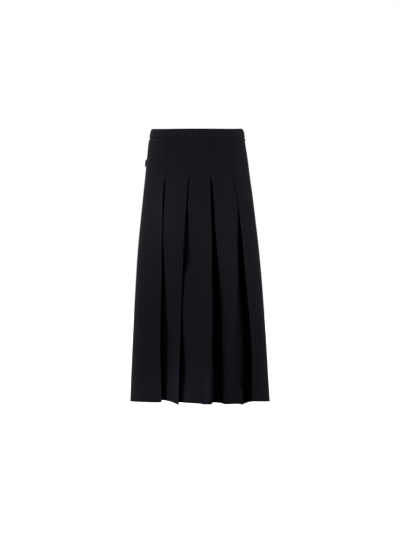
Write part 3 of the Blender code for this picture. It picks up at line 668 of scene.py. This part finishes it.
# ---- waistband ----------------------------------------------------------------------------------------------------
def waistband(mat):
    """Folded band with a soft top edge. It laps at the right side, where its top dips and its corner stands off."""
    outline = []
    half = BAND_WALL / 2
    for k in range(7):  # bottom outer corner
        a = math.pi * k / 12
        outline.append((BAND_BOTTOM + 0.9 * (1 - math.sin(a)), 0.9 * (1 - math.cos(a)) * 0.6 if k else 0.0))
    outline = [(BAND_BOTTOM, 1.2), (BAND_BOTTOM, 0.7), (BAND_BOTTOM + 0.15, 0.3), (BAND_BOTTOM + 0.5, 0.06)]
    outline += [(z, 0.0) for z in (BAND_BOTTOM + 1.2, -9.0, -6.0, -3.0, 0.0, 3.0, 6.0, 8.5, 10.2)]
    for k in range(0, 13):
        a = math.pi * k / 12
        outline.append((BAND_TOP - 1.25 + 1.25 * math.sin(a), half - half * math.cos(a)))
    outline += [(z, BAND_WALL) for z in (8.0, 4.0, 0.0, -4.0, -8.0, BAND_BOTTOM + 0.6)]
    outline += [(BAND_BOTTOM + 0.1, BAND_WALL - 0.2), (BAND_BOTTOM, BAND_WALL - 0.6)]
    steps = 288
    n = len(outline)
    verts, uvs = [], []
    lengths = np.concatenate(
        [[0.0], np.cumsum([math.hypot(a[0] - b[0], a[1] - b[1]) for a, b in zip(outline, outline[1:])])]
    )
    for k in range(steps + 1):
        t = 2 * math.pi * k / steps
        deg = math.degrees(t)
        side = abs(math.sin(t))
        dip = 3.4 * math.exp(-(((deg - 90.0) / 7.5) ** 2)) + 1.2 * math.exp(-(((deg - 270.0) / 6.0) ** 2))
        rise = 0.4 + (2.4 if deg < 180 else 2.1) * side**6 * (1.0 if math.cos(t) > 0 else 0.6)
        rise += 0.5 * side * side if deg < 180 else 0.0
        lap = 0.5 * (1.0 / (1.0 + math.exp(-(deg - 93.0) / 0.25)) - float(ease((deg - 93.0) / 24.0)))
        for (z, inside), v in zip(outline, lengths):
            left, right = RING_AT["left"](z), RING_AT["right"](z)
            b = RING_AT["front" if math.cos(t) > 0 else "back"](z) + BAND_PROUD - inside
            a = (right - left) / 2 + BAND_PROUD - inside
            # the fold's soft top edge and the seam's ridge just above the lower edge
            swell = 0.18 * math.exp(-(((z + 10.2) / 1.4) ** 2)) - 0.10 * math.exp(-(((z + 7.6) / 1.2) ** 2))
            swell -= 0.12 * math.exp(-(((z - 8.8) / 1.0) ** 2))
            wave = 0.25 * math.sin(3 * t + 0.8) + 0.15 * math.sin(7 * t + 2.0)
            out = (swell if inside < 0.05 else 0.0) + (wave + lap if inside < BAND_WALL / 2 else wave * 0.5)
            nx, ny = math.sin(t) / a, -math.cos(t) / b
            k2 = math.hypot(nx, ny)
            high = max(0.0, (z - 2.0) / 10.0)
            verts.append(
                (
                    (left + right) / 2 + a * math.sin(t) + nx / k2 * out,
                    -b * math.cos(t) + ny / k2 * out,
                    z + (rise - dip) * high**1.5,
                )
            )
            uvs.append((t * 116.0 * MM, v * MM))
    faces = []
    for k in range(steps):
        for i in range(n):
            j = (i + 1) % n
            faces.append((k * n + i, k * n + j, (k + 1) * n + j, (k + 1) * n + i))
    ob = mesh_object("band_shell", verts, faces, mat)
    grid_uv(ob, uvs, "cloth")
    bm = bmesh.new()
    bm.from_mesh(ob.data)
    bmesh.ops.remove_doubles(bm, verts=bm.verts, dist=1e-7)
    bmesh.ops.recalc_face_normals(bm, faces=bm.faces)
    bm.to_mesh(ob.data)
    bm.free()
    return ob


# ---- hip strap and buckle -----------------------------------------------------------------------------------------
def on_side(u, v, w):
    z = BUCKLE_Z + v
    left, right = RING_AT["left"](z), RING_AT["right"](z)
    ring = Ring(left, right, RING_AT["back" if u > 0 else "front"](z))
    (x, y) = ring.points(np.array([abs(u)]), np.array([-w]))[0]
    return (float(x), float(-y if u > 0 else y), z)


def strip(name, stations, wide, thick, mat, tip=None, puff=0.12):
    """A folded cloth band along the hip, with rounded long edges."""
    us = np.array([s[0] for s in stations])
    ws = np.array([s[1] for s in stations])
    fine = np.linspace(us[0], us[-1], 120)
    slope = np.gradient(ws, us)
    wf = np.empty_like(fine)
    for i, u in enumerate(fine):
        k = int(np.clip(np.searchsorted(us, u) - 1, 0, len(us) - 2))
        h = us[k + 1] - us[k]
        t = (u - us[k]) / h
        wf[i] = (
            (2 * t**3 - 3 * t**2 + 1) * ws[k]
            + (t**3 - 2 * t**2 + t) * h * slope[k] * 0.5
            + (-2 * t**3 + 3 * t**2) * ws[k + 1]
            + (t**3 - t**2) * h * slope[k + 1] * 0.5
        )
    wf = np.maximum(wf, SEAM)
    section = []
    for k in range(9):
        a = -math.pi / 2 + math.pi * k / 8
        section.append((1.0, math.cos(a) * 0.45, 0.5 + 0.5 * math.sin(a)))
    top = [(f, 0.0, 1.0) for f in (0.8, 0.55, 0.25, 0.0, -0.25, -0.55, -0.8)]
    loop = section + top + [(-f, c, h) for f, c, h in reversed(section)] + [(-f, c, 0.0) for f, c, _ in top]
    verts, uvs = [], []
    for u, w in zip(fine, wf):
        half = wide / 2 * (tip(u) if tip else 1.0)
        for f, c, h in loop:
            y = f * (half - 0.45) + (c if f > 0 else -c if abs(f) == 1.0 else 0.0)
            crown = puff * (1 - f * f) if h == 1.0 else 0.0
            stitched = -0.12 * math.exp(-(((abs(y) - (half - 1.9)) / 0.45) ** 2)) if h == 1.0 else 0.0
            verts.append(on_side(u, y, w + thick * h + crown + stitched))
            uvs.append((u * MM, y * MM))
    n, faces = len(loop), []
    for k in range(len(fine) - 1):
        for i in range(n):
            j = (i + 1) % n
            faces.append((k * n + i, k * n + j, (k + 1) * n + j, (k + 1) * n + i))
    faces.append(tuple(range(n)))
    faces.append(tuple((len(fine) - 1) * n + i for i in reversed(range(n))))
    ob = mesh_object(name, verts, faces, mat, smooth=60)
    grid_uv(ob, uvs)
    fix_normals(ob)
    return ob, fine, wf


def fix_normals(ob):
    bm = bmesh.new()
    bm.from_mesh(ob.data)
    bmesh.ops.recalc_face_normals(bm, faces=bm.faces)
    bm.to_mesh(ob.data)
    bm.free()


def tip_width(u):
    k = min(max((u - STRAP_TIP) / 7.0, 0.0), 1.0)
    return 0.35 + 0.65 * math.sin(k * math.pi / 2)


def tube(name, points, radii, mat, closed=False, sides=16, flat=1.0):
    """A round bar with its own radius at each point, its open ends closed with flat caps."""
    p = [Vector(q) for q in points]
    n = len(p)
    verts, faces = [], []
    up = Vector((0.0, 0.0, 1.0))
    for i in range(n):
        a, b = p[(i - 1) % n] if closed or i else p[0], p[(i + 1) % n] if closed or i < n - 1 else p[-1]
        d = (b - a).normalized()
        side = d.cross(up)
        if side.length < 0.2:
            side = d.cross(Vector((1.0, 0.0, 0.0)))
        side.normalize()
        over = side.cross(d).normalized()
        for k in range(sides):
            t = 2 * math.pi * k / sides
            verts.append(p[i] + side * (radii[i] * math.cos(t) * flat) + over * (radii[i] * math.sin(t)))
    for i in range(n if closed else n - 1):
        for k in range(sides):
            j, q = (k + 1) % sides, (i + 1) % n
            faces.append((i * sides + k, i * sides + j, q * sides + j, q * sides + k))
    if not closed:
        faces.append(tuple(range(sides)))
        faces.append(tuple((n - 1) * sides + k for k in reversed(range(sides))))
    ob = mesh_object(name, [tuple(v) for v in verts], faces, mat, smooth=50)
    fix_normals(ob)
    return ob


def buckle_axes():
    bar, far = Vector(on_side(BAR_AT, 0.0, BAR_HEIGHT)), Vector(on_side(BAR_AT + BUCKLE_LONG, 0.0, FAR_HEIGHT))
    mid = BAR_AT + BUCKLE_LONG / 2
    up = (Vector(on_side(mid, 1, 0)) - Vector(on_side(mid, -1, 0))).normalized()
    along = (far - bar).normalized()
    up = (up - along * up.dot(along)).normalized()
    return (bar + far) / 2, along, up, (far - bar).length


def round_rectangle(long, tall, radius, per_corner, per_side):
    out = []
    corners = (
        (long / 2 - radius, tall / 2 - radius, 0),
        (-long / 2 + radius, tall / 2 - radius, 90),
        (-long / 2 + radius, -tall / 2 + radius, 180),
        (long / 2 - radius, -tall / 2 + radius, 270),
    )
    for cx, cy, start in corners:
        for k in range(per_corner + 1):
            a = math.radians(start + 90 * k / per_corner)
            out.append((cx + radius * math.cos(a), cy + radius * math.sin(a)))
    full = []
    for a, b in zip(out, out[1:] + out[:1]):
        full.append(a)
        if math.hypot(b[0] - a[0], b[1] - a[1]) > 3.0:
            for k in range(1, per_side):
                full.append((a[0] + (b[0] - a[0]) * k / per_side, a[1] + (b[1] - a[1]) * k / per_side))
    return full


def stitches(name, places, mat, size=(1.5, 0.22)):
    """Short thread stitches as small spindles, joined in one mesh. places are (start, end, outward)."""
    verts, faces = [], []
    for a, b, out in places:
        a, b, out = Vector(a), Vector(b), Vector(out).normalized()
        d = (b - a).normalized()
        side = d.cross(out).normalized()
        base = len(verts)
        stations = ((0.0, 0.35, 0.0), (0.25, 0.9, 0.7), (0.5, 1.0, 1.0), (0.75, 0.9, 0.7), (1.0, 0.35, 0.0))
        for f, r, lift in stations:
            c = a.lerp(b, f) + out * (size[1] * 0.9 * lift)
            for k in range(6):
                t = math.pi * k / 3
                verts.append(tuple(c + side * (size[1] * r * math.cos(t)) + out * (size[1] * r * math.sin(t))))
        for s in range(len(stations) - 1):
            for k in range(6):
                j = (k + 1) % 6
                faces.append((base + s * 6 + k, base + s * 6 + j, base + s * 6 + 6 + j, base + s * 6 + 6 + k))
        faces.append(tuple(base + k for k in range(6)))
        faces.append(tuple(base + (len(stations) - 1) * 6 + k for k in reversed(range(6))))
    ob = mesh_object(name, verts, faces, mat, smooth=60)
    fix_normals(ob)
    return ob


def offset_line(points, side):
    p = np.asarray(points, float)
    along = np.gradient(p, axis=0)
    along /= np.linalg.norm(along, axis=1)[:, None]
    return p + side * np.stack([-along[:, 1], along[:, 0]], 1)


def buckle(steel, cloth, thread):
    o, along, up, span = buckle_axes()
    r = BUCKLE_WIRE / 2
    bar, far = BAR_AT, BAR_AT + BUCKLE_LONG
    ring = round_rectangle(span, BUCKLE_TALL - 2 * r, 2.4, 8, 8)
    loop = [o + along * u + up * v for u, v in ring]
    rim = tube("buckle_ring", loop, [r * (1.12 if u > -span / 2 + 1.0 else 0.95) for u, v in ring], steel, closed=True)

    turn = r + SEAM + LOOP_THICK / 2
    low = BAR_HEIGHT - turn
    centre = [(u, low) for u in np.linspace(bar - LOOP_LONG, bar, 14)]
    for k in range(1, 16):
        a = -math.pi / 2 + math.pi * k / 16
        centre.append((bar + turn * math.cos(a), BAR_HEIGHT + turn * math.sin(a)))
    top = BAR_HEIGHT + turn
    back = low + LOOP_THICK + SEAM
    for u in np.linspace(bar, bar - 6.2, 12)[1:]:
        centre.append((u, back + (top - back) * float(ease((u - (bar - 6.2)) / 6.2))))
    centre += [(u, back) for u in np.linspace(bar - 6.2, bar - LOOP_LONG, 8)[1:]]
    right, left = offset_line(centre, -LOOP_THICK / 2), offset_line(centre, LOOP_THICK / 2)
    half = LOOP_WIDE / 2
    verts, uvs, faces = [], [], []
    ring2 = [(-half, 0.15), (-half, 0.85), (-half + 0.25, 1.0), (0.0, 1.0), (half - 0.25, 1.0)]
    ring2 += [(half, 0.85), (half, 0.15), (half - 0.25, 0.0), (0.0, 0.0), (-half + 0.25, 0.0)]
    for i, (p, q) in enumerate(zip(right, left)):
        for v, f in ring2:
            u, w = p[0] + (q[0] - p[0]) * f, p[1] + (q[1] - p[1]) * f
            verts.append(on_side(u, v, w))
            uvs.append((i * 0.8 * MM, v * MM))
    n = len(ring2)
    for k in range(len(right) - 1):
        for i in range(n):
            j = (i + 1) % n
            faces.append((k * n + i, k * n + j, (k + 1) * n + j, (k + 1) * n + i))
    faces.append(tuple(range(n)))
    faces.append(tuple((len(right) - 1) * n + i for i in reversed(range(n))))
    chape = mesh_object("loop_shell", verts, faces, cloth, smooth=55)
    grid_uv(chape, uvs)
    fix_normals(chape)

    over = top + LOOP_THICK / 2 + SEAM
    tail = low + 1.5 * LOOP_THICK + 2 * SEAM
    stations = [
        (STRAP_TIP, tail),
        (STRAP_TIP + 2.0, tail),
        (STRAP_TIP + 4.5, tail + 0.1),
        (bar - 4.6, tail + 0.9),
        (bar - 1.5, over),
        (bar + 1.2, over),
        (bar + 4.0, over - 1.0),
        (bar + 8.0, 1.9),
        (far - 6.5, 0.75),
        (far - 3.0, SEAM),
        (far + 3.0, SEAM),
    ]
    stations += [(u, SEAM) for u in np.linspace(far + 11.0, STRAP_ROOT, 6)]
    strap, us, ws = strip("strap_shell", stations, STRAP_WIDE, STRAP_THICK, cloth, tip=tip_width)

    on_far = FAR_HEIGHT + r + SEAM + PRONG_WIRE / 2
    a, b = Vector(on_side(bar + 6.6, 0.0, 4.9)), Vector(on_side(far + 1.5, 0.0, on_far + 0.15))
    pr = PRONG_WIRE / 2
    prong = tube(
        "prong_bar",
        [a, a.lerp(b, 0.03), a.lerp(b, 0.3), a.lerp(b, 0.6), a.lerp(b, 0.9), a.lerp(b, 0.98), b],
        [pr * 0.7, pr, pr * 1.05, pr, pr * 0.95, pr * 0.75, pr * 0.35],
        steel,
    )

    # edge stitching along the strap, with a boxed end
    places = []
    for side in (-1, 1):
        u = STRAP_TIP + 8.0
        while u < STRAP_ROOT - 3.5:
            row = []
            for q in (u, u + 1.6):
                w = float(np.interp(q, us, ws)) + STRAP_THICK - 0.02
                row.append(on_side(q, side * (STRAP_WIDE / 2 * tip_width(q) - 1.9), w))
            out = Vector(on_side(u, 0, 3)) - Vector(on_side(u, 0, 0))
            places.append((row[0], row[1], out))
            u += 2.3
    for k in range(6):
        v = -STRAP_WIDE / 2 + 2.3 + k * 2.3
        for u in (STRAP_ROOT - 2.2, STRAP_ROOT - 12.0):
            w = SEAM + STRAP_THICK + 0.05
            out = Vector(on_side(u, 0, 3)) - Vector(on_side(u, 0, 0))
            places.append((on_side(u, v, w), on_side(u, v + 1.6, w), out))
    thread_ob = stitches("strap_stitches", places, thread)

    # eyelets worked in the strap, small thread rings
    rings = []
    for u in (far + 12.0, far + 24.0, far + 36.0):
        o2 = Vector(on_side(u, 0.0, SEAM + STRAP_THICK + 0.1))
        out = (Vector(on_side(u, 0, 3)) - Vector(on_side(u, 0, 0))).normalized()
        ax = (Vector(on_side(u + 1, 0, 0)) - Vector(on_side(u - 1, 0, 0))).normalized()
        ay = out.cross(ax).normalized()
        for k in range(14):
            t0, t1 = 2 * math.pi * k / 14, 2 * math.pi * (k + 0.2) / 14
            p0 = o2 + (ax * math.cos(t0) + ay * math.sin(t0)) * 0.9
            p1 = o2 + (ax * math.cos(t1) + ay * math.sin(t1)) * 1.9
            rings.append((p0, p1, out))
    eyelets = stitches("strap_eyelets", rings, thread, size=(1.0, 0.18))

    # a metal rivet-like back plate is not shown; the loop is sewn down with a short row
    row = []
    for k in range(5):
        v = -4.6 + k * 1.9
        out = Vector(on_side(bar - 9.0, 0, 3)) - Vector(on_side(bar - 9.0, 0, 0))
        row.append((on_side(bar - 10.4, v, back + LOOP_THICK / 2), on_side(bar - 10.4, v + 1.3, back + LOOP_THICK / 2), out))
    tack = stitches("loop_stitches", row, thread)
    return rim, prong, chape, strap, thread_ob, eyelets, tack


# ---- build --------------------------------------------------------------------------------------------------------
# the skirt's cloth carries the soft patches of painted light and shade
cloth_mat = wool("wool_twill", PANEL, PANEL_DARK, painted_light_areas=PAINTED_LIGHT_AND_SHADE)
band_mat = wool("wool_band", BAND, PANEL)
# the strap's cloth is 1.45 times lighter than the band's: painted light, for the light its pressed layers catch
strap_mat = wool("wool_strap", tuple(1.45 * v for v in BAND), PANEL)
thread_mat = wool("thread", (0.012, 0.0125, 0.015), (0.009, 0.0095, 0.012), bump=0.1, spec=0.5, rough=0.55)
steel_mat = metal("buckle_steel", (0.42, 0.42, 0.43), 0.34)

front, front_wide = skirt_half("front_shell", FRONT, HANG_FRONT, CREASES_FRONT, False, cloth_mat)
rear, rear_wide = skirt_half("back_shell", BACK, HANG_BACK, CREASES_BACK, True, cloth_mat)
band = waistband(band_mat)
rim, prong, chape, strap, threads, eyelets, tack = buckle(steel_mat, strap_mat, thread_mat)

for piece, node in (
    (front, "skirt_front"),
    (rear, "skirt_back"),
    (band, "waistband"),
    (rim, "buckle_frame"),
    (prong, "buckle_prong"),
    (chape, "buckle_loop"),
    (strap, "hip_strap"),
):
    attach(piece, "root")
    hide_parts(node)
for piece in (threads, eyelets, tack):
    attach(piece, "root")

print("front cloth across", front_wide, "back cloth across", rear_wide)

# ---- floor, light, camera -----------------------------------------------------------------------------------------
bpy.ops.mesh.primitive_plane_add(size=60.0, location=(0.0, 0.0, -1.30))
floor = bpy.context.active_object
floor.name = "floor"
fm = Nodes("floor_pale")
grain = fm.noise(fm.new("ShaderNodeTexCoord").outputs["Object"], 3.0, 2.0)
fm.tree.links.new(fm.math("MULTIPLY_ADD", grain, 0.02, 0.86), fm.bsdf.inputs["Roughness"])
fm.bsdf.inputs["Base Color"].default_value = (0.93, 0.93, 0.93, 1.0)
fm.bsdf.inputs["Specular IOR Level"].default_value = 0.1
floor.data.materials.append(fm.mat)
floor.visible_diffuse = floor.visible_glossy = False  # the floor throws no light up into the pleats

world = bpy.data.worlds.new("studio")
world.use_nodes = True
bpy.context.scene.world = world
wt = world.node_tree
wt.nodes.clear()


def world_math(op, a, b=None, c=None):
    n = wt.nodes.new("ShaderNodeMath")
    n.operation = op
    for i, v in enumerate((a, b, c)):
        if isinstance(v, (int, float)):
            n.inputs[i].default_value = v
        elif v is not None:
            wt.links.new(v, n.inputs[i])
    return n.outputs[0]


# a white studio seen by the camera; its light comes from behind, and softboxes light the front
where = wt.nodes.new("ShaderNodeTexCoord")
split = wt.nodes.new("ShaderNodeSeparateXYZ")
wt.links.new(where.outputs["Generated"], split.inputs["Vector"])
wx, wy, wz = split.outputs
level = world_math("SQRT", world_math("ADD", world_math("MULTIPLY", wx, wx), world_math("MULTIPLY", wy, wy)))
round_it = world_math("DIVIDE", world_math("MULTIPLY", wy, -1.0), world_math("MAXIMUM", level, 0.001))
round_it = world_math("DIVIDE", world_math("ARCCOSINE", round_it), math.pi)
ramp = wt.nodes.new("ShaderNodeValToRGB")
wt.links.new(round_it, ramp.inputs["Fac"])
while len(ramp.color_ramp.elements) > 1:
    ramp.color_ramp.elements.remove(ramp.color_ramp.elements[-1])
for i, (degrees, strength) in enumerate(ROUND):
    e = ramp.color_ramp.elements[0] if i == 0 else ramp.color_ramp.elements.new(degrees / 180.0)
    e.position = degrees / 180.0
    e.color = (strength, strength, strength, 1.0)
light_bg = wt.nodes.new("ShaderNodeBackground")
wt.links.new(ramp.outputs["Color"], light_bg.inputs["Color"])
seen_bg = wt.nodes.new("ShaderNodeBackground")
seen_bg.inputs["Strength"].default_value = 1.0
seen_bg.inputs["Color"].default_value = (1.0, 1.0, 1.0, 1.0)
path = wt.nodes.new("ShaderNodeLightPath")
choose = wt.nodes.new("ShaderNodeMixShader")
wt.links.new(path.outputs["Is Camera Ray"], choose.inputs["Fac"])
wt.links.new(light_bg.outputs["Background"], choose.inputs[1])
wt.links.new(seen_bg.outputs["Background"], choose.inputs[2])
world_out = wt.nodes.new("ShaderNodeOutputWorld")
wt.links.new(choose.outputs["Shader"], world_out.inputs["Surface"])


def softbox(name, where, to, size, power):
    data = bpy.data.lights.new(name, "AREA")
    data.shape = "RECTANGLE"
    data.size, data.size_y = size
    data.energy = power
    ob = bpy.data.objects.new(name, data)
    ob.location = where
    ob.rotation_mode = "QUATERNION"
    ob.rotation_quaternion = (Vector(to) - Vector(where)).to_track_quat("-Z", "Y")
    ob.visible_camera = False
    bpy.context.scene.collection.objects.link(ob)
    return ob


for name, where, size, power in BOXES:
    softbox(name, where, (0.0, 0.0, -0.25), size, power)
# a low lamp that faces down and whitens the floor
softbox("floor_lamp", (0.0, 0.0, -1.0), (0.0, 0.0, -2.0), (60.0, 60.0), 12300.0)

cam = bpy.data.cameras.new("camera")
cam.sensor_fit = "AUTO"
cam.sensor_width = 36.0
cam.lens = 36.0 * (8000.0 / 2.8) / 533.0
cam.clip_start, cam.clip_end = 0.1, 200.0
cam_ob = bpy.data.objects.new("camera", cam)
bpy.context.scene.collection.objects.link(cam_ob)
cam_ob.location = (0.00784, -8.0, -0.2904)
down = math.atan((266.5 - 238.0) / (8000.0 / 2.8))
cam_ob.rotation_euler = (math.pi / 2 - down, 0.0, 0.0)
bpy.context.scene.camera = cam_ob

bpy.context.scene.view_settings.view_transform = "Standard"
bpy.context.scene.view_settings.look = "None"
bpy.context.scene.view_settings.exposure = 0.0
bpy.context.scene.view_settings.gamma = 1.0

bpy.context.view_layer.update()
